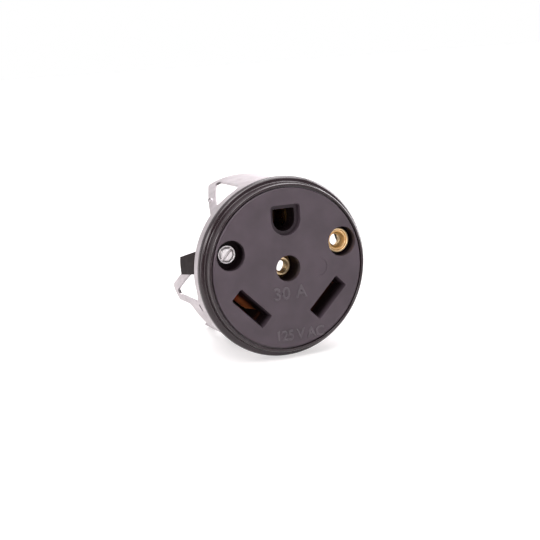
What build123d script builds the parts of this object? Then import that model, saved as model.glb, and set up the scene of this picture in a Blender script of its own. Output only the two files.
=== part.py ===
from build123d import *

import os
from math import atan2, cos, degrees, radians, sin

# Panel power socket for a three-pole 30 A plug, in millimetres.
# X is right and Z is up as seen from the front, Y runs rearward into the panel.
# The origin is on the axis of the round face, at the front of the flange.

# Rim ring and face
face_height = 3.0
face_diameter = 51.5
groove_width = 0.35
groove_depth = 0.9
lip_thickness = 1.0
rim_draft = 0.3
flange_reach = 1.6
flange_thickness = 2.7
flange_edge_radius = 0.3
face_edge_radius = 0.5
lip_edge_radius = 0.4
ring_fit = 0.05

# Stamped mounting cage
sheet = 0.8
band_inset = 0.5
band_length = 3.8
shoulder_step = 0.95
cage_length = 28.9
draw_radius = 0.4
cage_fit = 0.1
top_tab_angle = 90.0
lower_tab_angle = 219.5
tab_rear_half_angle = 25.2
leg_base_half_angle = 49.5
leg_base_from_band = 1.3
leg_angle = 6.1
leg_steps = 6
tab_corner = 1.0
tab_corner_angle = 1.5
window_inner_half_angle = 18.8
window_front_margin = 2.5
window_rear_margin = 3.2
window_front_inner_corner = 5.0
window_front_outer_corner = 1.2
window_rear_corner = 0.6
notch_half_angle = 13.5
notch_depth = 10.9
notch_corner_radius = 2.0
lance_half_angle = 14.3
lance_length = 2.8
lance_width = 1.1
lance_from_band = 5.1
dimple_diameter = 2.0
dimple_height = 0.8
dimple_hole = 0.9
dimple_hole_depth = 1.0
dimple_root = 0.3
dimple_taper = 12.0
dimple_from_rear = 15.0

# Moulded housing
housing_length = 13.0
front_wall = 6.4
side_terminal_x = 19.35
side_terminal_z = 6.4
side_access_diameter = 9.6
hot_access_depth = 4.0
neutral_access_depth = 5.6
centre_access_diameter = 8.4
blade_x = 13.35
blade_z = -11.2
blade_tilt = 45.0
blade_slot_length = 12.6
blade_slot_width = 3.4
blade_slot_corner = 0.3
blade_flare_length = 0.8
blade_flare_width = 0.8
blade_mouth_corner = 0.6
blade_funnel_depth = 3.5
ground_mouth_width = 10.2
ground_mouth_top = 20.3
ground_mouth_bottom = 10.5
ground_mouth_taper = 7.0
ground_pocket_depth = 1.6
ground_slot_width = 7.6
ground_slot_inset = 1.3
ground_corner_radius = 1.2
ground_slot_corner = 0.5
mark_x = 10.5
mark_z = -0.8
mark_diameter = 6.1
mark_depth = 0.15
lug_fit = 0.1
lug_thickness = 0.7
lug_root = 2.3
lug_leg_clearance = 0.4
lug_front_top = 7.6
lug_front_bottom = 1.2
lug_knee_reach = 8.3
lug_knee_z = 0.1
lug_top_reach = 19.3
lug_rear_top = 4.25
lug_bottom_reach = 18.4
lug_rear_bottom = -1.35

# Rear housing
rear_length = 14.5
rear_step = 9.0
rear_upper_radius = 18.3
rear_lower_radius = 20.6
rear_half_width = 13.0
wire_bay_floor = -2.5
chamber_wall = 1.0
chamber_end_gap = 1.3
chamber_side_gap = 0.95
chamber_floor = 1.5
ground_chamber_gap = 0.5
ground_chamber_end_gap = 0.7
ground_chamber_floor = 1.2
neck_fit = 0.2
well_half_width = 11.6
well_top = 6.0
well_bottom = -7.0
well_corner = 2.0
rear_edge_radius = 0.8

# Contacts and their springs
contact_sheet = 1.0
leaf_sheet = 0.9
leaf_side_gap = 1.2
leaf_root_gap = 3.6
leaf_pinch_gap = 1.5
leaf_mouth_gap = 2.6
leaf_length = 16.1
leaf_pinch_depth = 8.6
contact_window_inset = 1.6
plate_margin = 1.6
arm_width = 6.4
arm_inset = 0.4
plate_fit = 0.2
spring_sheet = 0.6
spring_width = 7.2
spring_start = 5.1
spring_overhang = 1.1
spring_toe = 1.0
spring_fit = 0.05
ground_plate_depth = 2.5
ground_plate_width = 11.0
ground_leaf_width = 6.0
ground_leaf_root_gap = 6.6
ground_leaf_pinch_gap = 4.4
ground_leaf_mouth_gap = 5.2
ground_leaf_length = 8.2
ground_leaf_pinch_depth = 4.6
ground_spring_sheet = 0.5
ground_spring_width = 5.0
ground_spring_start = 3.0
ground_spring_overhang = 0.3
ear_length = 5.8
ear_width = 6.0
ear_gap = 0.25

# Terminals
hot_bush_diameter = 8.7
hot_bush_depth = 2.9
hot_bush_lip = 0.5
hot_bush_step = 0.5
hot_bush_cone_diameter = 6.6
hot_bush_cone_depth = 1.5
neutral_bush_diameter = 5.9
neutral_bush_depth = 3.4
neutral_bush_wall = 0.5
bush_edge_radius = 0.2
bush_chamfer = 0.3
ground_bush_diameter = 5.6
ground_bush_length = 2.6
thread_diameter = 4.0
thread_clearance = 0.2
clamp_hole_diameter = 5.6
clamp_radial = 7.0
clamp_tangential = 9.0
clamp_thickness = 1.5
clamp_fit = 0.2
clamp_edge = 0.4
screw_head_diameter = 4.6
screw_head_height = 1.5
screw_length = 5.5
screw_slot_width = 1.2
screw_slot_depth = 0.8
slot_overrun = 1.0

# Screws that hold the two housings together and rivets that hold the cage
joint_screw_x = 9.2
joint_screw_z = 14.5
low_screw_z = -17.6
joint_screw_diameter = 2.9
joint_head_diameter = 5.4
joint_head_height = 1.9
joint_head_taper = 8.0
joint_screw_grip = 4.0
joint_pilot_extra = 0.5
joint_recess_depth = 2.2
joint_recess_fit = 0.3
joint_hole_fit = 0.15
joint_thread_fit = 0.05
joint_slot_width = 0.8
joint_slot_depth = 0.9
rivet_diameter = 2.2
rivet_head_diameter = 3.4
rivet_head_height = 0.5
rivet_head_taper = 30.0
rivet_length = 3.6
rivet_from_band = 2.15
rivet_fit = 0.1

# Places and sizes worked out from the values above
face_y = -face_height
face_radius = face_diameter / 2
lip_bore = face_radius + groove_width
lip_radius = lip_bore + lip_thickness
rim_root_radius = lip_radius + rim_draft
flange_radius = rim_root_radius + flange_reach
band_radius = flange_radius - band_inset
band_bore = band_radius - sheet
wall_radius = band_radius - shoulder_step
wall_bore = wall_radius - sheet
band_front = flange_thickness
band_rear = band_front + band_length
shoulder_front = band_rear - sheet
cage_rear = band_front + cage_length
housing_rear = face_y + housing_length
plate_y = face_y + front_wall
plate_rear = plate_y + contact_sheet
rear_end = housing_rear + rear_length
upper_end = housing_rear + rear_step
leg_base_y = band_rear + leg_base_from_band
tab_angles = (top_tab_angle, lower_tab_angle, 540 - lower_tab_angle)
rivet_y = band_rear + rivet_from_band
screw_spots = ((-joint_screw_x, joint_screw_z), (joint_screw_x, joint_screw_z), (0, low_screw_z))
arm_x = side_terminal_x - arm_inset
hot_bush_y = face_y + hot_bush_depth
neutral_bush_y = face_y + neutral_bush_depth
lug_radius = wall_radius + lug_fit + lug_thickness
ground_plate_y = plate_y - contact_sheet + ground_plate_depth
ground_slot_top = ground_mouth_top - ground_slot_inset
ground_slot_bottom = ground_mouth_bottom + ground_slot_inset
ground_z = (ground_slot_top + ground_slot_bottom) / 2
chamber_half = leaf_pinch_gap / 2 + leaf_sheet + spring_sheet + chamber_side_gap
leaf_width = blade_slot_length - 2 * leaf_side_gap
contact_window_length = blade_slot_length - contact_window_inset
chamber_length = leaf_width + 2 * chamber_end_gap
neck_length = chamber_length + 2 * chamber_wall
neck_width = 2 * (chamber_half + chamber_wall)
blade_pocket_length = neck_length + neck_fit
blade_pocket_width = neck_width + neck_fit
ground_chamber_half = ground_leaf_root_gap / 2 + leaf_sheet + ground_chamber_gap
ground_chamber_height = ground_leaf_width + 2 * ground_chamber_end_gap
blade_mouth_length = blade_slot_length + 2 * blade_flare_length
blade_mouth_width = blade_slot_width + 2 * blade_flare_width
neutral_bush_bore = neutral_bush_diameter - 2 * neutral_bush_wall
ear_top = wall_bore - ear_gap


def front(depth):
    return Plane.XZ.offset(-depth)


def facing(angle):
    turn = radians(angle)
    return Plane(origin=(0, 0, 0), x_dir=(sin(turn), 0, -cos(turn)), z_dir=(cos(turn), 0, sin(turn)))


def on_wall(points, angle):
    return [(wall_radius * sin(radians(angle - turn)), depth) for turn, depth in points]


def leg_half_angle(depth):
    share = (cage_rear - depth) / (cage_rear - leg_base_y)
    return tab_rear_half_angle + share * (leg_base_half_angle - tab_rear_half_angle)


def leg_height(depth):
    return wall_radius * sin(radians(lower_tab_angle - leg_half_angle(depth)))


def across_blade(side):
    turn = radians(side * blade_tilt)
    return Plane(
        origin=(side * blade_x, 0, blade_z),
        x_dir=(sin(turn), 0, -cos(turn)),
        z_dir=(cos(turn), 0, sin(turn)),
    )


def side_angle(side):
    return degrees(atan2(side_terminal_z, side * side_terminal_x))


def u_outline(width, top, bottom, corner):
    half = width / 2
    with BuildSketch() as outline:
        with BuildLine():
            Polyline((-half, bottom + half), (-half, top), (half, top), (half, bottom + half))
            RadiusArc((half, bottom + half), (-half, bottom + half), half)
        make_face()
        fillet(outline.vertices().group_by(Axis.Y)[-1], radius=corner)
    return outline.sketch


def blade_outline(side, length, width, corner):
    with BuildSketch() as outline:
        with Locations((side * blade_x, blade_z)):
            RectangleRounded(length, width, corner, rotation=side * blade_tilt)
    return outline.sketch


def leaf_pair(root, pinch, mouth, start, pinch_y, end, thickness):
    half_root, half_pinch, half_mouth = root / 2, pinch / 2, mouth / 2
    knee = start + 2 * thickness
    with BuildSketch() as pair:
        with BuildLine():
            Polyline(
                (half_root, start),
                (half_root, knee),
                (half_pinch, pinch_y),
                (half_mouth, end),
                (half_mouth + thickness, end),
                (half_pinch + thickness, pinch_y),
                (half_root + thickness, knee),
                (half_root + thickness, start),
                close=True,
            )
        make_face()
        mirror(about=Plane.YZ)
    return pair.sketch


def spring_section(touch, rear_gap, start, touch_y, end, thickness):
    half_touch, half_rear = touch / 2, rear_gap / 2
    with BuildSketch() as section:
        with BuildLine():
            Polyline(
                (half_touch + thickness, start),
                (half_touch, touch_y),
                (half_rear, end - spring_toe),
                (half_rear, end),
                (0, end),
                (0, end + thickness),
                (half_rear + thickness, end + thickness),
                (half_rear + thickness, end - spring_toe),
                (half_touch + thickness, touch_y),
                (half_touch + 2 * thickness, start),
                close=True,
            )
        make_face()
        mirror(about=Plane.YZ)
    return section.sketch


def save(piece, name):
    piece.part.label = name
    export_step(piece.part, f"parts/{name}.step")


os.makedirs("parts", exist_ok=True)

# Rim ring with its lip and the flange that seats behind the panel
with BuildPart() as rim_ring:
    with BuildSketch(Plane.XY):
        with BuildLine():
            Polyline(
                (lip_bore, face_y),
                (lip_radius, face_y),
                (rim_root_radius, 0),
                (flange_radius, 0),
                (flange_radius, flange_thickness),
                (face_radius + ring_fit, flange_thickness),
                (face_radius + ring_fit, face_y + groove_depth),
                (lip_bore, face_y + groove_depth),
                close=True,
            )
        make_face()
    revolve(axis=Axis.Y)
    fillet(rim_ring.edges().group_by(Axis.Y)[0], radius=lip_edge_radius)
    rings = rim_ring.edges().filter_by(GeomType.CIRCLE).sort_by(SortBy.RADIUS)
    fillet(rings[-2:], radius=flange_edge_radius)
save(rim_ring, "rim_ring")

# Moulded face with the blade slots, the ground opening and the terminal access holes
with BuildPart() as face_housing:
    with BuildSketch(Plane.XY):
        with BuildLine():
            Polyline(
                (0, face_y),
                (face_radius, face_y),
                (face_radius, band_front),
                (band_bore - cage_fit, band_front),
                (band_bore - cage_fit, plate_y),
                (0, plate_y),
                close=True,
            )
        make_face()
    revolve(axis=Axis.Y)
    fillet(face_housing.edges().group_by(Axis.Y)[0], radius=face_edge_radius)
    # Access holes down to the terminals
    with BuildSketch(front(face_y)):
        with Locations((side_terminal_x, side_terminal_z)):
            Circle(side_access_diameter / 2)
    extrude(amount=-hot_access_depth, mode=Mode.SUBTRACT)
    with BuildSketch(front(face_y)):
        with Locations((-side_terminal_x, side_terminal_z)):
            Circle(side_access_diameter / 2)
    extrude(amount=-neutral_access_depth, mode=Mode.SUBTRACT)
    with BuildSketch(front(face_y)):
        with Locations((side_terminal_x, side_terminal_z)):
            Circle(hot_bush_diameter / 2 + ring_fit)
        with Locations((-side_terminal_x, side_terminal_z)):
            Circle(neutral_bush_diameter / 2 + ring_fit)
        Circle(centre_access_diameter / 2)
    extrude(amount=-housing_length, mode=Mode.SUBTRACT)
    # Ground opening
    with BuildSketch(front(face_y)):
        add(u_outline(ground_mouth_width, ground_mouth_top, ground_mouth_bottom, ground_corner_radius))
    extrude(amount=-ground_pocket_depth, taper=ground_mouth_taper, mode=Mode.SUBTRACT)
    with BuildSketch(front(face_y)):
        add(u_outline(ground_slot_width, ground_slot_top, ground_slot_bottom, ground_slot_corner))
    extrude(amount=-housing_length, mode=Mode.SUBTRACT)
    # Blade openings, each a funnel that runs into a narrow slot
    for side in (-1, 1):
        slot = blade_outline(side, blade_slot_length, blade_slot_width, blade_slot_corner)
        with BuildSketch(front(face_y)):
            add(blade_outline(side, blade_mouth_length, blade_mouth_width, blade_mouth_corner))
        with BuildSketch(front(face_y + blade_funnel_depth)):
            add(slot)
        loft(mode=Mode.SUBTRACT)
        with BuildSketch(front(face_y)):
            add(slot)
        extrude(amount=-housing_length, mode=Mode.SUBTRACT)
    # Round mark pressed into the face
    with BuildSketch(front(face_y)):
        with Locations((mark_x, mark_z)):
            Circle(mark_diameter / 2)
    extrude(amount=-mark_depth, mode=Mode.SUBTRACT)
save(face_housing, "face_housing")

# Moulded carrier behind the face, with a side lug and pockets for the plates and clamps
with BuildPart() as contact_carrier:
    with BuildSketch(Plane.XY):
        with BuildLine():
            Polyline(
                (0, plate_y),
                (band_bore - cage_fit, plate_y),
                (band_bore - cage_fit, shoulder_front - cage_fit - draw_radius),
                (band_bore - cage_fit - draw_radius, shoulder_front - cage_fit),
                (wall_bore - cage_fit, shoulder_front - cage_fit),
                (wall_bore - cage_fit, housing_rear),
                (0, housing_rear),
                close=True,
            )
        make_face()
    revolve(axis=Axis.Y)
    # Pockets and the passages that carry on from the face
    with BuildSketch(front(plate_y)):
        Circle(centre_access_diameter / 2)
        add(u_outline(ground_slot_width, ground_slot_top, ground_slot_bottom, ground_slot_corner))
    extrude(amount=-housing_length, mode=Mode.SUBTRACT)
    for side in (-1, 1):
        with BuildSketch(front(plate_y)):
            with Locations((side * blade_x, blade_z)):
                Rectangle(blade_pocket_length, blade_pocket_width, rotation=side * blade_tilt)
            with Locations((side * side_terminal_x, side_terminal_z)):
                Rectangle(
                    clamp_radial + 2 * clamp_fit,
                    clamp_tangential + 2 * clamp_fit,
                    rotation=side_angle(side),
                )
            with Locations((side * arm_x, 0)):
                Rectangle(arm_width + 2 * clamp_fit, 2 * side_terminal_z)
        extrude(amount=-housing_length, mode=Mode.SUBTRACT)
    with BuildSketch(front(ground_plate_y)):
        with Locations((0, wall_bore / 2 - ground_plate_width / 4)):
            Rectangle(ground_plate_width + 2 * clamp_fit, wall_bore + ground_plate_width / 2)
    extrude(amount=-housing_length, mode=Mode.SUBTRACT)
    # Pilot holes for the joint screws
    with BuildSketch(front(housing_rear)):
        with Locations(*screw_spots):
            Circle(joint_screw_diameter / 2)
    extrude(amount=joint_screw_grip + joint_pilot_extra, mode=Mode.SUBTRACT)
    # Holes for the lower cage rivets
    for tab in tab_angles[1:]:
        with BuildSketch(facing(tab).offset(wall_radius - rivet_length)):
            with Locations((0, rivet_y)):
                Circle(rivet_diameter / 2)
        extrude(amount=rivet_length, mode=Mode.SUBTRACT)
    # Side lug: it fills the open space above the lower left leg and laps over that leg
    with BuildPart(mode=Mode.PRIVATE) as lap:
        lap_front = band_rear + draw_radius + lug_fit
        with BuildSketch(Plane.XY):
            with Locations((lug_radius - lug_thickness / 2, (lap_front + lug_top_reach) / 2)):
                Rectangle(lug_thickness, lug_top_reach - lap_front)
        revolve(axis=Axis.Y)
        with BuildSketch(Plane.YZ):
            with BuildLine():
                Polyline(
                    (band_rear, lug_front_top),
                    (lug_top_reach, lug_rear_top),
                    (lug_bottom_reach, lug_rear_bottom),
                    (lug_knee_reach, lug_knee_z),
                    (band_rear, lug_front_bottom),
                    close=True,
                )
            make_face()
        extrude(amount=-flange_radius, mode=Mode.INTERSECT)
    add(lap.part)
    with BuildPart(mode=Mode.PRIVATE) as web:
        web_front = leg_base_y + lug_leg_clearance
        with BuildSketch(Plane.XY):
            with Locations(((lug_radius + wall_bore - lug_root) / 2, (web_front + lug_top_reach) / 2)):
                Rectangle(lug_radius - wall_bore + lug_root, lug_top_reach - web_front)
        revolve(axis=Axis.Y)
        with BuildSketch(Plane.YZ):
            with BuildLine():
                Polyline(
                    (band_rear, lug_front_top),
                    (lug_top_reach, lug_rear_top),
                    (lug_bottom_reach, leg_height(lug_bottom_reach) + lug_leg_clearance),
                    (web_front, leg_height(web_front) + lug_leg_clearance),
                    (band_rear, leg_height(web_front) + lug_leg_clearance),
                    close=True,
                )
            make_face()
        extrude(amount=-flange_radius, mode=Mode.INTERSECT)
    add(web.part)
save(contact_carrier, "contact_carrier")

# Stamped cage: a drawn cup, cut into three braced tabs
leg_run = cage_rear - tab_corner - leg_base_y
leg_depths = [leg_base_y + leg_run * step / leg_steps for step in range(leg_steps + 1)]
leg_edge = [(leg_half_angle(depth), depth) for depth in leg_depths]
leg_edge.append((tab_rear_half_angle - tab_corner_angle, cage_rear))
window_front = band_rear + window_front_margin
window_rear = cage_rear - window_rear_margin
window = [
    (window_inner_half_angle, window_front),
    (window_inner_half_angle, window_rear),
    (leg_half_angle(window_rear) - leg_angle, window_rear),
    (leg_half_angle(window_front) - leg_angle, window_front),
]
with BuildPart() as mounting_cage:
    with BuildSketch(Plane.XY) as section:
        with BuildLine():
            Polyline(
                (band_bore, band_front),
                (band_radius, band_front),
                (band_radius, band_rear),
                (wall_radius, band_rear),
                (wall_radius, cage_rear),
                (wall_bore, cage_rear),
                (wall_bore, shoulder_front),
                (band_bore, shoulder_front),
                close=True,
            )
        make_face()
        between_ends = section.vertices().group_by(Axis.Y)[1:-1]
        fillet([bend for group in between_ends for bend in group], radius=draw_radius)
    revolve(axis=Axis.Y)
    # The open spaces between neighbouring tabs
    for first, second in zip(tab_angles, (*tab_angles[1:], tab_angles[0] + 360)):
        middle = (first + second) / 2
        edge_points = [(first + turn, depth) for turn, depth in leg_edge]
        edge_points.append((first + tab_rear_half_angle - tab_corner_angle, cage_rear + sheet))
        edge_points.append((second - tab_rear_half_angle + tab_corner_angle, cage_rear + sheet))
        edge_points += [(second - turn, depth) for turn, depth in reversed(leg_edge)]
        with BuildSketch(facing(middle)):
            with BuildLine():
                Polyline(*on_wall(edge_points, middle), close=True)
            make_face()
        extrude(amount=flange_radius, mode=Mode.SUBTRACT)
    # A window on each side of every tab leaves a slanted brace
    for tab in tab_angles:
        for side in (-1, 1):
            middle = tab + side * (leg_base_half_angle + window_inner_half_angle) / 2
            points = [(tab + side * turn, depth) for turn, depth in window]
            with BuildSketch(facing(middle)) as opening:
                with BuildLine():
                    Polyline(*on_wall(points, middle), close=True)
                make_face()
                inner_corner = opening.vertices().group_by(Axis.Y)[0].sort_by(Axis.X)[-1 if side > 0 else 0]
                fillet(inner_corner, radius=window_front_inner_corner)
                outer_corner = opening.vertices().group_by(Axis.Y)[0].sort_by(Axis.X)[0 if side > 0 else -1]
                fillet(outer_corner, radius=window_front_outer_corner)
                rear_corners = opening.vertices().group_by(Axis.Y)[-1]
                fillet(rear_corners, radius=window_rear_corner)
            extrude(amount=flange_radius, mode=Mode.SUBTRACT)
    # The lower tabs are notched at the rear and lanced near the band
    for tab in tab_angles[1:]:
        half_notch = wall_radius * sin(radians(notch_half_angle))
        with BuildSketch(facing(tab)) as notch:
            with Locations((0, cage_rear)):
                Rectangle(2 * half_notch, 2 * notch_depth)
            fillet(notch.vertices().group_by(Axis.Y)[0], radius=notch_corner_radius)
        extrude(amount=flange_radius, mode=Mode.SUBTRACT)
        for side in (-1, 1):
            with BuildSketch(facing(tab + side * lance_half_angle)):
                with Locations((0, band_rear + lance_from_band)):
                    SlotOverall(lance_length, lance_width)
            extrude(amount=flange_radius, mode=Mode.SUBTRACT)
    # Dimples pushed out of the braces of the top tab, each with a small hole
    for side in (-1, 1):
        dimple_y = cage_rear - dimple_from_rear
        inset = degrees(dimple_diameter / 2 / wall_radius)
        spot = facing(top_tab_angle + side * (leg_half_angle(dimple_y) - inset))
        with BuildSketch(spot.offset(wall_bore + dimple_root)):
            with Locations((0, dimple_y)):
                Circle(dimple_diameter / 2)
        extrude(amount=sheet - dimple_root + dimple_height, taper=dimple_taper)
        with BuildSketch(spot.offset(wall_radius + dimple_height - dimple_hole_depth)):
            with Locations((0, dimple_y)):
                Circle(dimple_hole / 2)
        extrude(amount=dimple_hole_depth, mode=Mode.SUBTRACT)
    # Holes for the rivets
    for tab in tab_angles:
        with BuildSketch(facing(tab)):
            with Locations((0, rivet_y)):
                Circle(rivet_diameter / 2 + rivet_fit / 2)
        extrude(amount=flange_radius, mode=Mode.SUBTRACT)
save(mounting_cage, "mounting_cage")

# Rivets that fasten the cage to the face housing and to the ground contact
with BuildPart() as cage_rivets:
    for tab in tab_angles:
        shank_base = wall_radius - rivet_length + rivet_fit
        if tab == top_tab_angle:
            shank_base = ear_top - contact_sheet
        with BuildSketch(facing(tab).offset(shank_base)):
            with Locations((0, rivet_y)):
                Circle(rivet_diameter / 2)
        extrude(amount=wall_radius - shank_base)
        with BuildSketch(facing(tab).offset(wall_radius)):
            with Locations((0, rivet_y)):
                Circle(rivet_head_diameter / 2)
        extrude(amount=rivet_head_height, taper=rivet_head_taper)
    with BuildSketch(facing(top_tab_angle).offset(ear_top - contact_sheet - rivet_head_height)):
        with Locations((0, rivet_y)):
            Circle(rivet_head_diameter / 2)
    extrude(amount=rivet_head_height)
save(cage_rivets, "cage_rivets")

# Rear housing with a neck and a chamber for each contact
with BuildPart() as rear_housing:
    with BuildSketch(front(housing_rear)):
        Circle(rear_lower_radius)
        with Locations((0, rear_lower_radius + wire_bay_floor)):
            Rectangle(2 * rear_lower_radius, 2 * rear_lower_radius, mode=Mode.SUBTRACT)
        with BuildSketch(mode=Mode.PRIVATE) as upper:
            Circle(rear_upper_radius)
            Rectangle(2 * rear_half_width, 2 * rear_upper_radius, mode=Mode.INTERSECT)
        add(upper.sketch)
        for side in (-1, 1):
            with Locations((side * blade_x, blade_z)):
                Rectangle(neck_length, neck_width, rotation=side * blade_tilt)
    extrude(amount=-rear_length)
    rear_face = rear_housing.faces().sort_by(Axis.Y)[-1]
    fillet(rear_face.edges(), radius=rear_edge_radius)
    # Top block round the ground contact
    with BuildSketch(front(housing_rear)):
        with Locations((0, ground_z)):
            Rectangle(
                2 * (ground_chamber_half + chamber_wall),
                ground_chamber_height + 2 * chamber_wall,
            )
    extrude(amount=-rear_step)
    # Necks that reach forward and hold the contact plates in their pockets
    with BuildSketch(front(plate_rear)):
        for side in (-1, 1):
            with Locations((side * blade_x, blade_z)):
                Rectangle(neck_length, neck_width, rotation=side * blade_tilt)
    extrude(amount=-(housing_rear - plate_rear))
    with BuildSketch(front(ground_plate_y + contact_sheet)):
        with Locations((0, ground_z)):
            Rectangle(ground_plate_width - 2 * plate_fit, ground_chamber_height + 2 * chamber_wall)
    extrude(amount=-(housing_rear - ground_plate_y - contact_sheet))
    # Chambers
    with BuildSketch(front(plate_rear)):
        for side in (-1, 1):
            with Locations((side * blade_x, blade_z)):
                Rectangle(chamber_length, 2 * chamber_half, rotation=side * blade_tilt)
    extrude(amount=-(rear_end - chamber_floor - plate_rear), mode=Mode.SUBTRACT)
    with BuildSketch(front(ground_plate_y)):
        with Locations((0, ground_z)):
            Rectangle(2 * ground_chamber_half, ground_chamber_height)
    extrude(amount=-(upper_end - ground_chamber_floor - ground_plate_y), mode=Mode.SUBTRACT)
    # Wire well behind the centre terminal, open to the rear
    with BuildSketch(front(housing_rear)):
        with Locations((0, (well_top + well_bottom) / 2)):
            RectangleRounded(2 * well_half_width, well_top - well_bottom, well_corner)
    extrude(amount=-rear_length, mode=Mode.SUBTRACT)
    # Holes and recesses for the joint screws
    with BuildSketch(front(housing_rear)):
        with Locations(*screw_spots):
            Circle(joint_screw_diameter / 2 + joint_hole_fit)
    extrude(amount=-rear_length, mode=Mode.SUBTRACT)
    with BuildSketch(front(housing_rear + joint_recess_depth)):
        with Locations(*screw_spots):
            Circle(joint_head_diameter / 2 + joint_recess_fit)
    extrude(amount=-rear_length, mode=Mode.SUBTRACT)
save(rear_housing, "rear_housing")

# Screws that join the two housings
with BuildPart() as housing_screws:
    with BuildSketch(front(housing_rear - joint_screw_grip)):
        with Locations(*screw_spots):
            Circle(joint_screw_diameter / 2 - joint_thread_fit)
    extrude(amount=-(joint_screw_grip + joint_recess_depth))
    with BuildSketch(front(housing_rear + joint_recess_depth)):
        with Locations(*screw_spots):
            Circle(joint_head_diameter / 2)
    extrude(amount=-joint_head_height, taper=joint_head_taper)
    with BuildSketch(front(housing_rear + joint_recess_depth + joint_head_height)):
        with Locations(*screw_spots):
            Rectangle(joint_slot_width, joint_head_diameter + slot_overrun)
    extrude(amount=joint_slot_depth, mode=Mode.SUBTRACT)
save(housing_screws, "housing_screws")

# Line and neutral contacts, their springs and terminals
screw_hole = thread_diameter + thread_clearance
for name, side, contact_hole, clamp_hole in (
    ("neutral", -1, screw_hole, thread_diameter),
    ("hot", 1, clamp_hole_diameter, clamp_hole_diameter),
):
    turn = side * blade_tilt
    spot = (side * side_terminal_x, side_terminal_z)
    with BuildPart() as contact:
        with BuildSketch(front(plate_y)):
            with Locations((side * blade_x, blade_z)):
                Rectangle(neck_length - plate_fit, neck_width - plate_fit, rotation=turn)
            with Locations((side * arm_x, 0)):
                Rectangle(arm_width, 2 * side_terminal_z)
            with Locations(spot):
                Rectangle(clamp_radial, clamp_tangential, rotation=side_angle(side))
            with Locations((side * blade_x, blade_z)):
                Rectangle(contact_window_length, leaf_root_gap, rotation=turn, mode=Mode.SUBTRACT)
            with Locations(spot):
                Circle(contact_hole / 2, mode=Mode.SUBTRACT)
        extrude(amount=-contact_sheet)
        with BuildSketch(across_blade(side)):
            add(
                leaf_pair(
                    leaf_root_gap,
                    leaf_pinch_gap,
                    leaf_mouth_gap,
                    plate_y,
                    plate_rear + leaf_pinch_depth,
                    plate_rear + leaf_length,
                    leaf_sheet,
                )
            )
        extrude(amount=leaf_width / 2, both=True)
    save(contact, f"{name}_contact")

    with BuildPart() as spring:
        touch = leaf_pinch_gap + 2 * (leaf_sheet + spring_fit)
        with BuildSketch(across_blade(side)):
            add(
                spring_section(
                    touch,
                    leaf_mouth_gap + 2 * leaf_sheet + 4 * spring_fit,
                    plate_rear + spring_start,
                    plate_rear + leaf_pinch_depth,
                    plate_rear + leaf_length + spring_overhang,
                    spring_sheet,
                )
            )
        extrude(amount=spring_width / 2, both=True)
    save(spring, f"{name}_contact_spring")

    with BuildPart() as clamp:
        with BuildSketch(front(plate_rear)):
            with Locations(spot):
                Rectangle(clamp_radial - clamp_fit, clamp_tangential - clamp_fit, rotation=side_angle(side))
                Circle(clamp_hole / 2, mode=Mode.SUBTRACT)
        extrude(amount=-clamp_thickness)
        rear_edges = clamp.faces().sort_by(Axis.Y)[-1].outer_wire().edges()
        chamfer(rear_edges, length=clamp_edge)
    save(clamp, f"{name}_wire_clamp")

# Threaded bush of the hot terminal, with a stepped and coned mouth
with BuildPart() as hot_terminal_bush:
    with BuildSketch(front(hot_bush_y)):
        with Locations((side_terminal_x, side_terminal_z)):
            Circle(hot_bush_diameter / 2)
            Circle(thread_diameter / 2, mode=Mode.SUBTRACT)
    extrude(amount=-(plate_y - hot_bush_y))
    rims = hot_terminal_bush.edges().filter_by(GeomType.CIRCLE).group_by(Axis.Y)[0]
    fillet(rims.sort_by(SortBy.RADIUS)[-1], radius=bush_edge_radius)
    with BuildSketch(front(hot_bush_y)):
        with Locations((side_terminal_x, side_terminal_z)):
            Circle(hot_bush_diameter / 2 - hot_bush_lip)
    extrude(amount=-hot_bush_step, mode=Mode.SUBTRACT)
    with BuildSketch(front(hot_bush_y + hot_bush_step)):
        with Locations((side_terminal_x, side_terminal_z)):
            Circle(hot_bush_cone_diameter / 2)
    cone_taper = degrees(atan2((hot_bush_cone_diameter - thread_diameter) / 2, hot_bush_cone_depth))
    extrude(amount=-hot_bush_cone_depth, taper=cone_taper, mode=Mode.SUBTRACT)
save(hot_terminal_bush, "hot_terminal_bush")

# Plain bush round the head of the neutral clamp screw
with BuildPart() as neutral_terminal_bush:
    with BuildSketch(front(neutral_bush_y)):
        with Locations((-side_terminal_x, side_terminal_z)):
            Circle(neutral_bush_diameter / 2)
            Circle(neutral_bush_bore / 2, mode=Mode.SUBTRACT)
    extrude(amount=-(plate_y - neutral_bush_y))
    rims = neutral_terminal_bush.edges().filter_by(GeomType.CIRCLE).group_by(Axis.Y)[0]
    fillet(rims, radius=bush_edge_radius)
save(neutral_terminal_bush, "neutral_terminal_bush")

# The one clamp screw, in the neutral terminal
with BuildPart() as neutral_clamp_screw:
    with BuildSketch(front(plate_y - screw_head_height)):
        with Locations((-side_terminal_x, side_terminal_z)):
            Circle(screw_head_diameter / 2)
    extrude(amount=-screw_head_height)
    with BuildSketch(front(plate_y)):
        with Locations((-side_terminal_x, side_terminal_z)):
            Circle(thread_diameter / 2)
    extrude(amount=-screw_length)
    with BuildSketch(front(plate_y - screw_head_height)):
        with Locations((-side_terminal_x, side_terminal_z)):
            Rectangle(screw_head_diameter + slot_overrun, screw_slot_width, rotation=blade_tilt)
    extrude(amount=-screw_slot_depth, mode=Mode.SUBTRACT)
save(neutral_clamp_screw, "neutral_clamp_screw")

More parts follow.
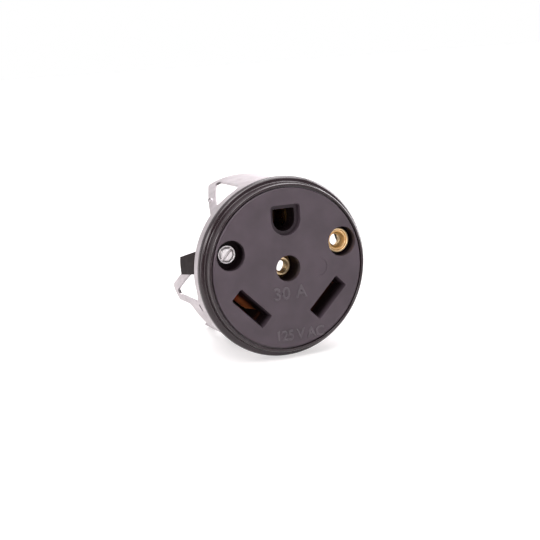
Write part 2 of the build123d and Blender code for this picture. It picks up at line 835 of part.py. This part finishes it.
# Ground contact: a plate with a pin window, an ear to the cage and a hole for the terminal
with BuildPart() as ground_contact:
    plate_bottom = -ground_plate_width / 2
    with BuildSketch(front(ground_plate_y)):
        with Locations((0, (plate_bottom + ground_slot_top + plate_margin) / 2)):
            Rectangle(ground_plate_width, ground_slot_top + plate_margin - plate_bottom)
        with Locations((0, (ground_slot_top + ear_top) / 2)):
            Rectangle(ear_width, ear_top - ground_slot_top)
        with Locations((0, ground_z)):
            Rectangle(ground_leaf_root_gap, ground_chamber_height, mode=Mode.SUBTRACT)
        Circle(clamp_hole_diameter / 2, mode=Mode.SUBTRACT)
    extrude(amount=-contact_sheet)
    with BuildSketch(Plane.XY.offset(ground_z)):
        add(
            leaf_pair(
                ground_leaf_root_gap,
                ground_leaf_pinch_gap,
                ground_leaf_mouth_gap,
                ground_plate_y,
                ground_plate_y + contact_sheet + ground_leaf_pinch_depth,
                ground_plate_y + contact_sheet + ground_leaf_length,
                leaf_sheet,
            )
        )
    extrude(amount=ground_leaf_width / 2, both=True)
    with BuildSketch(Plane.XY.offset(ear_top)):
        with Locations((0, ground_plate_y + ear_length / 2)):
            Rectangle(ear_width, ear_length)
        with Locations((0, rivet_y)):
            Circle(rivet_diameter / 2 + rivet_fit / 2, mode=Mode.SUBTRACT)
    extrude(amount=-contact_sheet)
save(ground_contact, "ground_contact")

with BuildPart() as ground_contact_spring:
    with BuildSketch(Plane.XY.offset(ground_z)):
        add(
            spring_section(
                ground_leaf_pinch_gap + 2 * (leaf_sheet + spring_fit),
                ground_leaf_mouth_gap + 2 * leaf_sheet + 4 * spring_fit,
                ground_plate_y + contact_sheet + ground_spring_start,
                ground_plate_y + contact_sheet + ground_leaf_pinch_depth,
                ground_plate_y + contact_sheet + ground_leaf_length + ground_spring_overhang,
                ground_spring_sheet,
            )
        )
    extrude(amount=ground_spring_width / 2, both=True)
save(ground_contact_spring, "ground_contact_spring")

with BuildPart() as ground_terminal_bush:
    with BuildSketch(front(ground_plate_y - ground_bush_length)):
        Circle(ground_bush_diameter / 2)
        Circle(thread_diameter / 2, mode=Mode.SUBTRACT)
    extrude(amount=-ground_bush_length)
    mouth = ground_terminal_bush.edges().filter_by(GeomType.CIRCLE).group_by(Axis.Y)[0]
    chamfer(mouth.sort_by(SortBy.RADIUS)[0], length=bush_chamfer)
save(ground_terminal_bush, "ground_terminal_bush")

with BuildPart() as ground_wire_clamp:
    with BuildSketch(front(ground_plate_y + contact_sheet)):
        Rectangle(clamp_tangential, clamp_tangential)
        Circle(clamp_hole_diameter / 2, mode=Mode.SUBTRACT)
    extrude(amount=-clamp_thickness)
    chamfer(ground_wire_clamp.faces().sort_by(Axis.Y)[-1].outer_wire().edges(), length=clamp_edge)
save(ground_wire_clamp, "ground_wire_clamp")
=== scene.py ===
from math import cos, pi, radians, sin

import bmesh
import bpy
from mathutils import Matrix, Quaternion, Vector


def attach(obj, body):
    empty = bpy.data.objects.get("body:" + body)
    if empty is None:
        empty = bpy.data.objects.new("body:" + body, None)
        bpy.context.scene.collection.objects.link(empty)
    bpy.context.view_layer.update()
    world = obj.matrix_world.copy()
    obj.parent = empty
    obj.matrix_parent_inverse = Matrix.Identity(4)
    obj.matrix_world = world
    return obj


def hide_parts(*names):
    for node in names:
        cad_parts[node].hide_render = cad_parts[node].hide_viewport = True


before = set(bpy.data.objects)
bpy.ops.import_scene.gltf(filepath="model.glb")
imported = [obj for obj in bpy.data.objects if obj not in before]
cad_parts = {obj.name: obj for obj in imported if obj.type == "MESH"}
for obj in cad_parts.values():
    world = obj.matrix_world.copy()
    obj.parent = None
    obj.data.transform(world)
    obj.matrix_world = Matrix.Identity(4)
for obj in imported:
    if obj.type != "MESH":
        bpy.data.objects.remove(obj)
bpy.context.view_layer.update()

MM = 0.001

# Camera: place, aim, roll and lens for a square picture
CAMERA_PLACE = Vector((-168.5, -371.2, 73.6)) * MM
CAMERA_AIM = Vector((-4.35, 1.79, -0.63)) * MM
CAMERA_ROLL = -3.5
CAMERA_LENS = 86.67
CAMERA_SENSOR = 36.0
CAMERA_CLIP = 0.01

# The floor touches the flange and the two lower tabs of the cage
FLANGE_RADIUS = 29.0
FLOOR_TOUCH_Y = 0.0
FLOOR_SLOPE = 10.6
FLOOR_SIZE = 0.9
FLOOR_COLOUR = (0.6, 0.585, 0.585)
FLOOR_GLOW = 0.5
# The part of the floor that glossy surfaces see as white, in metres along Y
FLOOR_MIRROR_SPAN = (-0.10, 0.03)

# Light tent seen by the socket: its tint, its strengths, and where they change along each direction
ROOM_COLOUR = (1.0, 0.97, 0.985)
ROOM_FRONT = 0.12
ROOM_BACK = 0.85
ROOM_TOP = 0.3
ROOM_BACK_SPAN = (-0.5, 0.6)
ROOM_TOP_SPAN = (0.1, 0.9)

# Lamps: name, place and size in metres, watts, colour, roll, shown in reflections, light on matt surfaces
LAMPS = (
    ("key", (-0.25, -0.35, 0.75), (0.5, 0.5), 4.2, (1.0, 0.985, 0.98), 0.0, True, True),
    ("overhead", (0.36, 0.3, 0.75), (0.6, 0.4), 4.0, (1.0, 0.975, 0.985), 0.0, True, True),
    ("fill", (0.36, -0.72, -0.05), (0.4, 0.3), 0.6, (1.0, 0.965, 0.985), 0.0, True, True),
    ("edge", (-0.7, -0.3, 0.12), (0.36, 0.7), 2.2, (1.0, 0.97, 1.0), 0.0, True, False),
    ("crown", (0.3, -0.1, 0.85), (0.8, 0.8), 7.0, (1.0, 0.96, 0.98), 0.0, True, False),
    ("right", (0.78, 0.1, 0.22), (0.55, 0.75), 12.0, (1.0, 0.96, 0.99), 0.0, True, False),
    ("glint", (-0.37, -0.41, 0.19), (0.4, 0.12), 1.1, (1.0, 0.98, 0.97), -23.6, True, False),
    ("probe", (-0.19, -0.42, 0.09), (0.08, 0.08), 1.0, (1.0, 0.96, 0.95), 0.0, False, True),
)

# Ratings on the face: middle (x, z), height and relief in millimetres, letter spacing
FACE_Y = -3.0
CAP_SHARE = 0.72
MARK_RELIEF = 0.3
MARK_BEVEL = 0.12
MARK_WEIGHT = -0.04
MARK_CURVE_STEPS = 3
CURRENT_PLACE = (0.0, -8.1)
CURRENT_HEIGHT = 4.1
CURRENT_SPACING = 1.08
VOLTAGE_PLACE = (2.7, -21.75)
VOLTAGE_HEIGHT = 3.3
VOLTAGE_SPACING = 0.93

# Threads in the hot and the ground bush, in millimetres
THREAD_RADIUS = 2.0
THREAD_PITCH = 0.7
THREAD_DEPTH = 0.3
THREAD_STEPS = 24
THREAD_FOOT = 0.42
THREAD_CREST = 0.08
HOT_THREAD_SPAN = (1.95, 3.35)
GROUND_THREAD_SPAN = (2.65, 4.85)

# Rim ring and the cage's band behind it: radii and depths, in millimetres
GROOVE_FLOOR_Y = -2.1
LIP_BORE = 26.1
LIP_TOP_RADIUS = 27.05
LIP_FOOT_RADIUS = 27.3
LIP_INNER_ROUND = 0.35
LIP_OUTER_ROUND = 0.6
COVE_ROUND = 0.4
FLANGE_EDGE_ROUND = 1.3
FLANGE_EDGE_STEPS = 16
FLANGE_BACK_Y = 1.9
FLANGE_REAR_Y = 2.7
RING_BORE = 25.8
BAND_BORE = 27.7
BAND_RADIUS = 28.5
RIM_SIDES = 288

# Hot bush: place on the face, radii and depths, in millimetres
HOT_PLACE = (19.35, 6.4)
HOT_RADIUS = 4.1
HOT_FRONT_Y = -0.05
HOT_REAR_Y = 3.4
HOT_LIP_ROUND = 0.42
HOT_GROOVE_RADIUS = 2.95
HOT_GROOVE_Y = 0.55
HOT_GROOVE_ROUND = 0.3
HOT_THROAT_RADIUS = 2.5
HOT_THROAT_Y = 0.9
HOT_BORE_RADIUS = 2.05
HOT_BORE_Y = 1.9
HOT_SIDES = 96

# Slotted head of the neutral screw, in millimetres
NEUTRAL_PLACE = (-19.35, 6.4)
HEAD_RADIUS = 2.4
HEAD_CENTRE_RADIUS = 0.02
HEAD_FRONT_Y = 0.35
HEAD_REAR_Y = 3.4
HEAD_ROUND = 0.7
HEAD_RISE = 0.7
HEAD_SLOT_WIDTH = 0.9
HEAD_SLOT_DEPTH = 0.9
HEAD_SLOT_TURN = -45.0
HEAD_SIDES = 64

# Edges sharper than this stay crisp on turned pieces, in degrees
CREASE = 50

# The small blind holes in the cage's two upper braces, darkened inside with painted shade
DIMPLE_TURN = 38.4
DIMPLE_REACH = 28.4
DIMPLE_Y = 16.6
DIMPLE_SHADE_RADIUS = 0.5
DIMPLE_PAINTED_SHADE = (0.02, 0.015, 0.015)

# Noise for each kind of material: cycles per millimetre and detail, and the detail of the grain
MOULDED_CLOUDS = (0.12, 3)
MOULDED_SHEEN = (0.35, 5)
MOULDED_GRAIN_DETAIL = 2
METAL_CLOUDS = (0.25, 5)
METAL_SHEEN = (0.8, 6)
METAL_GRAIN_DETAIL = 4
NOISE_RANGE = (0.3, 0.7)
TINT_RANGE = (0.35, 0.65)

# Materials: darkest and lightest colour, range of roughness, grain size and relief in millimetres
SATIN = dict(
    dark=(0.054, 0.039, 0.050), light=(0.070, 0.051, 0.065), rough=(0.34, 0.44), grain=0.16, relief=0.004,
)
GLOSS = dict(
    dark=(0.018, 0.0095, 0.012), light=(0.024, 0.013, 0.017), rough=(0.20, 0.26), grain=0.3, relief=0.0006,
    specular=0.6,
)
# A darker, duller copy of the black moulding: painted shade on the rear housing and the contact carrier
SHADED_MOULDING = dict(
    dark=(0.010, 0.0055, 0.0055), light=(0.014, 0.009, 0.009), rough=(0.44, 0.54), grain=0.2, relief=0.003,
    specular=0.05,
)
# Lettering: a lighter copy of the satin plastic, a painted highlight on the raised letters
LIT_MARK = dict(
    dark=(0.080, 0.066, 0.077), light=(0.098, 0.080, 0.094), rough=(0.26, 0.34), grain=0.16, relief=0.002,
)
ZINC = dict(dark=(0.44, 0.405, 0.42), light=(0.52, 0.485, 0.50), rough=(0.44, 0.56))
STEEL = dict(dark=(0.52, 0.52, 0.53), light=(0.66, 0.66, 0.67), rough=(0.22, 0.34))
BLUED = dict(dark=(0.20, 0.20, 0.22), light=(0.34, 0.33, 0.34), rough=(0.28, 0.42))
COPPER = dict(dark=(0.80, 0.28, 0.10), light=(0.95, 0.38, 0.15), rough=(0.32, 0.46))
BRASS = dict(dark=(0.93, 0.68, 0.38), light=(0.98, 0.76, 0.46), rough=(0.36, 0.40), grain=0.6, relief=0.0002)
# Darker brass for the ground contact and its clamp deep in the middle hole: painted shade
SHADED_BRASS = dict(dark=(0.30, 0.17, 0.06), light=(0.42, 0.25, 0.10), rough=(0.24, 0.36))
NICKEL = dict(dark=(0.80, 0.77, 0.78), light=(0.90, 0.87, 0.88), rough=(0.34, 0.38), relief=0.0004)
COPPER_METALLIC = 0.4

# Painted shade: depths over which openings and contacts darken and lose shine, in millimetres, with the
# shade and shine at the dark end; the openings darken inwards, the contacts towards the front
SATIN_PAINTED_SHADE = dict(near=-2.8, far=-0.6, shade=(0.008, 0.005, 0.006), shine=(0.5, 0.08))
COPPER_PAINTED_SHADE = dict(near=9.0, far=5.0, shade=(0.03, 0.01, 0.006), shine=(0.5, 0.1))


def map_range(tree, source, start, end, low=0.0, high=1.0):
    """Map a value from the range start..end to the range low..high."""
    node = tree.nodes.new("ShaderNodeMapRange")
    node.inputs["From Min"].default_value = start
    node.inputs["From Max"].default_value = end
    node.inputs["To Min"].default_value = low
    node.inputs["To Max"].default_value = high
    tree.links.new(source, node.inputs["Value"])
    return node.outputs["Result"]


def combine(tree, operation, first, second):
    """A math node over an output and a second output or number."""
    node = tree.nodes.new("ShaderNodeMath")
    node.operation = operation
    tree.links.new(first, node.inputs[0])
    if isinstance(second, float):
        node.inputs[1].default_value = second
    else:
        tree.links.new(second, node.inputs[1])
    return node.outputs[0]


def towards(tree, share, colour, shade):
    """Mix a colour output towards a fixed shade."""
    mix = tree.nodes.new("ShaderNodeMixRGB")
    mix.inputs["Color2"].default_value = (*shade, 1)
    tree.links.new(share, mix.inputs["Fac"])
    tree.links.new(colour, mix.inputs["Color1"])
    return mix.outputs["Color"]


def along(tree, source, axis):
    """One axis of a vector output."""
    parts = tree.nodes.new("ShaderNodeSeparateXYZ")
    tree.links.new(source, parts.inputs[0])
    return parts.outputs[axis]


def object_place(tree):
    return tree.nodes.new("ShaderNodeTexCoord").outputs["Object"]


def new_material(name):
    material = bpy.data.materials.new(name)
    material.use_nodes = True
    tree = material.node_tree
    tree.nodes.clear()
    output = tree.nodes.new("ShaderNodeOutputMaterial")
    shader = tree.nodes.new("ShaderNodeBsdfPrincipled")
    tree.links.new(shader.outputs["BSDF"], output.inputs["Surface"])
    return material, tree, shader


def noise(tree, scale, detail):
    """A noise texture, its scale in cycles per millimetre of the object."""
    texture = tree.nodes.new("ShaderNodeTexNoise")
    texture.inputs["Scale"].default_value = scale / MM
    texture.inputs["Detail"].default_value = detail
    tree.links.new(object_place(tree), texture.inputs["Vector"])
    return texture.outputs["Fac"]


def tint(tree, source, dark, light):
    """Mix two colours by a 0..1 value."""
    ramp = tree.nodes.new("ShaderNodeValToRGB")
    for element, position, colour in zip(ramp.color_ramp.elements, TINT_RANGE, (dark, light)):
        element.position = position
        element.color = (*colour, 1)
    tree.links.new(source, ramp.inputs["Fac"])
    return ramp.outputs["Color"]


def bump(tree, shader, source, height):
    """Raise the surface by height metres where the source is white."""
    node = tree.nodes.new("ShaderNodeBump")
    node.inputs["Strength"].default_value = 1.0
    node.inputs["Distance"].default_value = height
    tree.links.new(source, node.inputs["Height"])
    tree.links.new(node.outputs["Normal"], shader.inputs["Normal"])


def moulded(name, dark, light, rough, grain, relief, specular=0.5):
    """Moulded plastic with cloudy colour, uneven sheen and a fine grain."""
    material, tree, shader = new_material(name)
    tree.links.new(tint(tree, noise(tree, *MOULDED_CLOUDS), dark, light), shader.inputs["Base Color"])
    sheen = map_range(tree, noise(tree, *MOULDED_SHEEN), *NOISE_RANGE, *rough)
    tree.links.new(sheen, shader.inputs["Roughness"])
    shader.inputs["Specular IOR Level"].default_value = specular
    bump(tree, shader, noise(tree, 1 / grain, MOULDED_GRAIN_DETAIL), relief * MM)
    return material


def metal(name, dark, light, rough, grain=0.25, relief=0.002, metallic=1.0):
    """Metal with cloudy colour, uneven sheen and a fine grain."""
    material, tree, shader = new_material(name)
    shader.inputs["Metallic"].default_value = metallic
    tree.links.new(tint(tree, noise(tree, *METAL_CLOUDS), dark, light), shader.inputs["Base Color"])
    sheen = map_range(tree, noise(tree, *METAL_SHEEN), *NOISE_RANGE, *rough)
    tree.links.new(sheen, shader.inputs["Roughness"])
    bump(tree, shader, noise(tree, 1 / grain, METAL_GRAIN_DETAIL), relief * MM)
    return material


def painted_shade_spots(material, spots, radius, shade):
    """Paint shade into the base colour inside small spheres round the given places, in millimetres."""
    tree = material.node_tree
    base = tree.nodes["Principled BSDF"].inputs["Base Color"]
    place = object_place(tree)
    colour = base.links[0].from_socket
    for spot in spots:
        gap = tree.nodes.new("ShaderNodeVectorMath")
        gap.operation = "DISTANCE"
        gap.inputs[1].default_value = Vector(spot) * MM
        tree.links.new(place, gap.inputs[0])
        inside = combine(tree, "LESS_THAN", gap.outputs["Value"], radius * MM)
        colour = towards(tree, inside, colour, shade)
    tree.links.new(colour, base)


def painted_depth_shade(material, near, far, shade, shine):
    """Paint shade into the base colour and dull its shine, from none at the near depth to full at the far
    depth.
    """
    tree = material.node_tree
    shader = tree.nodes["Principled BSDF"]
    base = shader.inputs["Base Color"]
    depth = map_range(tree, along(tree, object_place(tree), "Y"), near * MM, far * MM)
    tree.links.new(towards(tree, depth, base.links[0].from_socket, shade), base)
    tree.links.new(map_range(tree, depth, 0.0, 1.0, *shine), shader.inputs["Specular IOR Level"])


def paint_node(name, material):
    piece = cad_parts[name]
    if not piece.data.materials:
        piece.data.materials.append(material)
    for slot in piece.material_slots:
        slot.material = material


def in_place(name, mesh):
    """Add a finished mesh as a piece of the socket."""
    piece = bpy.data.objects.new(name, mesh)
    bpy.context.scene.collection.objects.link(piece)
    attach(piece, "root")
    return piece


def raised_mark(name, words, middle, height, spacing, material):
    """Low raised lettering on the face, its middle at (x, z) millimetres."""
    curve = bpy.data.curves.new(name, "FONT")
    curve.body = words
    curve.size = height / CAP_SHARE * MM
    curve.space_character = spacing
    curve.align_x = "CENTER"
    curve.align_y = "CENTER"
    curve.extrude = MARK_RELIEF / 2 * MM
    curve.bevel_depth = MARK_BEVEL * MM
    curve.offset = MARK_WEIGHT * MM
    curve.resolution_u = MARK_CURVE_STEPS
    helper = bpy.data.objects.new(name + "_helper", curve)
    mesh = bpy.data.meshes.new_from_object(helper)
    bpy.data.objects.remove(helper)
    turn = Matrix.Rotation(radians(90), 4, "X")
    mesh.transform(Matrix.Translation(Vector((middle[0], FACE_Y, middle[1])) * MM) @ turn)
    mesh.materials.clear()
    mesh.materials.append(material)
    return in_place(name, mesh)


def arc(centre, radius, start, end, steps=8):
    """Points of an arc in the (radius, depth) plane, angles in degrees."""
    turns = [radians(start + (end - start) * step / steps) for step in range(steps + 1)]
    return [(centre[0] + radius * cos(turn), centre[1] + radius * sin(turn)) for turn in turns]


def lathe(name, outline, sides, material, middle=(0.0, 0.0)):
    """Turn a closed outline of (radius, depth) points round a rearward axis at (x, z)."""
    mesh = bmesh.new()
    rings = []
    for side in range(sides):
        turn = 2 * pi * side / sides
        rings.append([
            mesh.verts.new(Vector((middle[0] + r * cos(turn), y, middle[1] + r * sin(turn))) * MM)
            for r, y in outline
        ])
    for index, ring in enumerate(rings):
        following = rings[(index + 1) % sides]
        for point in range(len(outline)):
            after = (point + 1) % len(outline)
            mesh.faces.new((ring[point], ring[after], following[after], following[point]))
    bmesh.ops.recalc_face_normals(mesh, faces=mesh.faces)
    data = bpy.data.meshes.new(name)
    mesh.to_mesh(data)
    mesh.free()
    data.shade_smooth()
    data.set_sharp_from_angle(angle=radians(CREASE))
    data.materials.append(material)
    return in_place(name, data)


def rim_outline():
    """The rim's section: groove wall, rounded lip, hollow cove, rounded flange and the seat of the band."""
    cove_middle = (LIP_FOOT_RADIUS + COVE_ROUND, -COVE_ROUND)
    edge_middle = (FLANGE_RADIUS - FLANGE_EDGE_ROUND, FLANGE_EDGE_ROUND)
    return (
        [(RING_BORE, FLANGE_REAR_Y), (RING_BORE, GROOVE_FLOOR_Y), (LIP_BORE, GROOVE_FLOOR_Y)]
        + arc((LIP_BORE + LIP_INNER_ROUND, FACE_Y + LIP_INNER_ROUND), LIP_INNER_ROUND, 180, 270)
        + arc((LIP_TOP_RADIUS - LIP_OUTER_ROUND, FACE_Y + LIP_OUTER_ROUND), LIP_OUTER_ROUND, 270, 360)
        + arc(cove_middle, COVE_ROUND, 180, 95)
        + arc(edge_middle, FLANGE_EDGE_ROUND, 282, 360, FLANGE_EDGE_STEPS)
        + [(FLANGE_RADIUS, FLANGE_BACK_Y), (BAND_BORE, FLANGE_BACK_Y), (BAND_BORE, FLANGE_REAR_Y)]
    )


def band_outline():
    """The front edge of the cage's band, let into the back of the flange."""
    return [
        (BAND_BORE, FLANGE_REAR_Y), (BAND_BORE, FLANGE_BACK_Y),
        (BAND_RADIUS, FLANGE_BACK_Y), (BAND_RADIUS, FLANGE_REAR_Y),
    ]


def hot_bush_outline():
    """The hot bush's section: broad rounded lip, hollow groove, inner collar and coned throat."""
    return (
        [(HOT_RADIUS, HOT_REAR_Y)]
        + arc((HOT_RADIUS - HOT_LIP_ROUND, HOT_FRONT_Y + HOT_LIP_ROUND), HOT_LIP_ROUND, 0, -180)
        + arc((HOT_GROOVE_RADIUS, HOT_GROOVE_Y), HOT_GROOVE_ROUND, 0, 180)[1:]
        + [(HOT_THROAT_RADIUS, HOT_THROAT_Y), (HOT_BORE_RADIUS, HOT_BORE_Y), (HOT_BORE_RADIUS, HOT_REAR_Y)]
    )


def slotted_head(name, material):
    """The neutral screw's low domed head with a straight slot."""
    dome = (
        [(HEAD_CENTRE_RADIUS, HEAD_FRONT_Y)]
        + arc((HEAD_RADIUS - HEAD_ROUND, HEAD_FRONT_Y + HEAD_RISE), HEAD_ROUND, 270, 360)
        + [(HEAD_RADIUS, HEAD_REAR_Y), (HEAD_CENTRE_RADIUS, HEAD_REAR_Y)]
    )
    piece = lathe(name, dome, HEAD_SIDES, material, NEUTRAL_PLACE)
    cutter_mesh = bmesh.new()
    bmesh.ops.create_cube(cutter_mesh, size=1.0)
    size = Matrix.Diagonal(Vector((3 * HEAD_RADIUS, 2 * HEAD_SLOT_DEPTH, HEAD_SLOT_WIDTH, 1 / MM)) * MM)
    where = Matrix.Translation(Vector((NEUTRAL_PLACE[0], HEAD_FRONT_Y, NEUTRAL_PLACE[1])) * MM)
    cutter_mesh.transform(where @ Matrix.Rotation(radians(HEAD_SLOT_TURN), 4, "Y") @ size)
    data = bpy.data.meshes.new(name + "_cutter")
    cutter_mesh.to_mesh(data)
    cutter_mesh.free()
    cutter = bpy.data.objects.new(name + "_cutter", data)
    bpy.context.scene.collection.objects.link(cutter)
    cut = piece.modifiers.new("slot", "BOOLEAN")
    cut.operation = "DIFFERENCE"
    cut.solver = "EXACT"
    cut.object = cutter
    graph = bpy.context.evaluated_depsgraph_get()
    shaped = bpy.data.meshes.new_from_object(piece.evaluated_get(graph))
    piece.modifiers.clear()
    piece.data = shaped
    bpy.data.objects.remove(cutter)
    return piece


def thread(name, place, span, material):
    """A fine screw thread: ridges that wind along the inside of a bore."""
    start, end = span
    mesh = bmesh.new()
    steps = int((end - start) / THREAD_PITCH * THREAD_STEPS)
    rows = []
    for step in range(steps + 1):
        angle = 2 * pi * step / THREAD_STEPS
        depth = start + THREAD_PITCH * step / THREAD_STEPS
        fade = min(1.0, step / THREAD_STEPS, (steps - step) / THREAD_STEPS)
        row = []
        profile = ((-THREAD_FOOT, 0.0), (-THREAD_CREST, fade), (THREAD_CREST, fade), (THREAD_FOOT, 0.0))
        for shift, reach in profile:
            spot = THREAD_RADIUS - THREAD_DEPTH * reach
            row.append(mesh.verts.new(Vector((
                place[0] + spot * cos(angle),
                min(max(depth + shift * THREAD_PITCH, start), end),
                place[1] + spot * sin(angle),
            )) * MM))
        rows.append(row)
    for before, after in zip(rows, rows[1:]):
        for index in range(3):
            mesh.faces.new((before[index], before[index + 1], after[index + 1], after[index]))
    data = bpy.data.meshes.new(name)
    mesh.to_mesh(data)
    mesh.free()
    data.materials.append(material)
    return in_place(name, data)


def make_camera():
    data = bpy.data.cameras.new("camera")
    data.lens = CAMERA_LENS
    data.sensor_width = CAMERA_SENSOR
    data.clip_start = CAMERA_CLIP
    camera = bpy.data.objects.new("camera", data)
    bpy.context.scene.collection.objects.link(camera)
    view = CAMERA_AIM - CAMERA_PLACE
    camera.rotation_mode = "QUATERNION"
    camera.rotation_quaternion = view.to_track_quat("-Z", "Y") @ Quaternion((0, 0, 1), radians(CAMERA_ROLL))
    camera.location = CAMERA_PLACE
    bpy.context.scene.camera = camera


def make_light(name, place, size, power, colour, roll, in_reflections, on_matt):
    """A soft rectangular lamp that faces the socket."""
    data = bpy.data.lights.new(name, "AREA")
    data.shape = "RECTANGLE"
    data.size, data.size_y = size
    data.energy = power
    data.color = colour
    light = bpy.data.objects.new(name, data)
    light.location = place
    light.rotation_mode = "QUATERNION"
    towards_socket = (-Vector(place)).to_track_quat("-Z", "Y")
    light.rotation_quaternion = towards_socket @ Quaternion((0, 0, 1), radians(roll))
    light.visible_glossy = in_reflections
    light.visible_diffuse = on_matt
    bpy.context.scene.collection.objects.link(light)


def seen_directly(tree, path):
    """1 for rays from the camera and through openings, 0 for the rest."""
    return combine(tree, "MAXIMUM", path.outputs["Is Camera Ray"], path.outputs["Is Transmission Ray"])


def make_floor():
    """Pale paper that shows white to the camera and keeps the socket's shadow."""
    material = bpy.data.materials.new("floor")
    material.use_nodes = True
    tree = material.node_tree
    tree.nodes.clear()
    output = tree.nodes.new("ShaderNodeOutputMaterial")
    paper = tree.nodes.new("ShaderNodeBsdfDiffuse")
    paper.inputs["Color"].default_value = (*FLOOR_COLOUR, 1)
    path = tree.nodes.new("ShaderNodeLightPath")
    place = tree.nodes.new("ShaderNodeNewGeometry")
    behind = map_range(tree, along(tree, place.outputs["Position"], "Y"), *FLOOR_MIRROR_SPAN)
    mirrored = combine(tree, "MULTIPLY", path.outputs["Is Glossy Ray"], behind)
    shown = combine(tree, "MAXIMUM", seen_directly(tree, path), mirrored)
    glow = tree.nodes.new("ShaderNodeEmission")
    tree.links.new(combine(tree, "MULTIPLY", shown, FLOOR_GLOW), glow.inputs["Strength"])
    both = tree.nodes.new("ShaderNodeAddShader")
    tree.links.new(paper.outputs[0], both.inputs[0])
    tree.links.new(glow.outputs[0], both.inputs[1])
    tree.links.new(both.outputs[0], output.inputs["Surface"])
    mesh = bpy.data.meshes.new("floor")
    half = FLOOR_SIZE / 2
    corners = [(-half, -half, 0), (half, -half, 0), (half, half, 0), (-half, half, 0)]
    mesh.from_pydata(corners, [], [(0, 1, 2, 3)])
    mesh.materials.append(material)
    floor = bpy.data.objects.new("floor", mesh)
    floor.location = (0, FLOOR_TOUCH_Y, -FLANGE_RADIUS * MM)
    floor.rotation_euler = (radians(FLOOR_SLOPE), 0, 0)
    bpy.context.scene.collection.objects.link(floor)


def make_world():
    """White to the camera; to the socket a light tent, dark in front and bright behind and overhead."""
    world = bpy.data.worlds.new("world")
    bpy.context.scene.world = world
    world.use_nodes = True
    tree = world.node_tree
    tree.nodes.clear()
    output = tree.nodes.new("ShaderNodeOutputWorld")
    direction = tree.nodes.new("ShaderNodeTexCoord").outputs["Generated"]
    back = map_range(tree, along(tree, direction, "Y"), *ROOM_BACK_SPAN, ROOM_FRONT, ROOM_BACK)
    top = map_range(tree, along(tree, direction, "Z"), *ROOM_TOP_SPAN, 0.0, ROOM_TOP)
    room = tree.nodes.new("ShaderNodeBackground")
    room.inputs["Color"].default_value = (*ROOM_COLOUR, 1)
    tree.links.new(combine(tree, "ADD", back, top), room.inputs["Strength"])
    white = tree.nodes.new("ShaderNodeBackground")
    white.inputs["Color"].default_value = (1, 1, 1, 1)
    white.inputs["Strength"].default_value = 1.0
    pick = tree.nodes.new("ShaderNodeMixShader")
    tree.links.new(seen_directly(tree, tree.nodes.new("ShaderNodeLightPath")), pick.inputs["Fac"])
    tree.links.new(room.outputs[0], pick.inputs[1])
    tree.links.new(white.outputs[0], pick.inputs[2])
    tree.links.new(pick.outputs[0], output.inputs["Surface"])


def paint_all():
    """Paint every CAD node and return the materials that the new pieces share."""
    satin = moulded("satin_black", **SATIN)
    # Painted shade on the face housing's walls inside its openings, with duller shine
    painted_depth_shade(satin, **SATIN_PAINTED_SHADE)
    gloss = moulded("gloss_black", **GLOSS)
    zinc = metal("zinc_steel", **ZINC)
    turn = radians(DIMPLE_TURN)
    holes = [(side * DIMPLE_REACH * sin(turn), DIMPLE_Y, DIMPLE_REACH * cos(turn)) for side in (-1, 1)]
    # Painted shade inside the blind holes of the two upper braces
    painted_shade_spots(zinc, holes, DIMPLE_SHADE_RADIUS, DIMPLE_PAINTED_SHADE)
    copper = metal("copper", **COPPER, metallic=COPPER_METALLIC)
    # Painted shade on the copper contacts, darker from 9 mm depth forwards to 5 mm, with duller shine
    painted_depth_shade(copper, **COPPER_PAINTED_SHADE)
    brass = metal("brass", **BRASS)
    nickel = metal("nickel", **NICKEL)
    blued = metal("spring_steel", **BLUED)
    for material, names in (
        (satin, ("face_housing",)),
        (gloss, ("rim_ring",)),
        # Painted shade: the rear housing and contact carrier take the darker, duller moulding
        (moulded("dark_moulding", **SHADED_MOULDING), ("rear_housing", "contact_carrier")),
        (zinc, ("mounting_cage",)),
        (metal("plated_steel", **STEEL), ("cage_rivets", "housing_screws")),
        (blued, ("hot_contact_spring", "neutral_contact_spring", "ground_contact_spring")),
        (copper, ("hot_contact", "neutral_contact")),
        (brass, ("hot_terminal_bush", "ground_terminal_bush", "hot_wire_clamp")),
        # Painted shade: the ground contact and clamp take the darkened brass
        (metal("shaded_brass", **SHADED_BRASS), ("ground_contact", "ground_wire_clamp")),
        (nickel, ("neutral_terminal_bush", "neutral_wire_clamp", "neutral_clamp_screw")),
    ):
        for name in names:
            paint_node(name, material)
    return {"gloss": gloss, "brass": brass, "nickel": nickel, "zinc": zinc, "mark": moulded("mark", **LIT_MARK)}


make_camera()
make_world()
make_floor()
for lamp in LAMPS:
    make_light(*lamp)
skins = paint_all()

ring = lathe("rim_ring_turned", rim_outline(), RIM_SIDES, skins["gloss"])
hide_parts("rim_ring")
lathe("cage_band_front", band_outline(), RIM_SIDES, skins["zinc"])
bush = lathe("hot_bush_turned", hot_bush_outline(), HOT_SIDES, skins["brass"], HOT_PLACE)
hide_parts("hot_terminal_bush")
slotted_head("neutral_screw_head", skins["nickel"])
# The ratings take the lighter lettering material, a painted highlight
raised_mark("mark_current", "30 A", CURRENT_PLACE, CURRENT_HEIGHT, CURRENT_SPACING, skins["mark"])
raised_mark("mark_voltage", "125 V AC", VOLTAGE_PLACE, VOLTAGE_HEIGHT, VOLTAGE_SPACING, skins["mark"])
thread("hot_thread", HOT_PLACE, HOT_THREAD_SPAN, skins["brass"])
thread("ground_thread", (0, 0), GROUND_THREAD_SPAN, skins["brass"])
bpy.context.scene.view_settings.view_transform = "Standard"
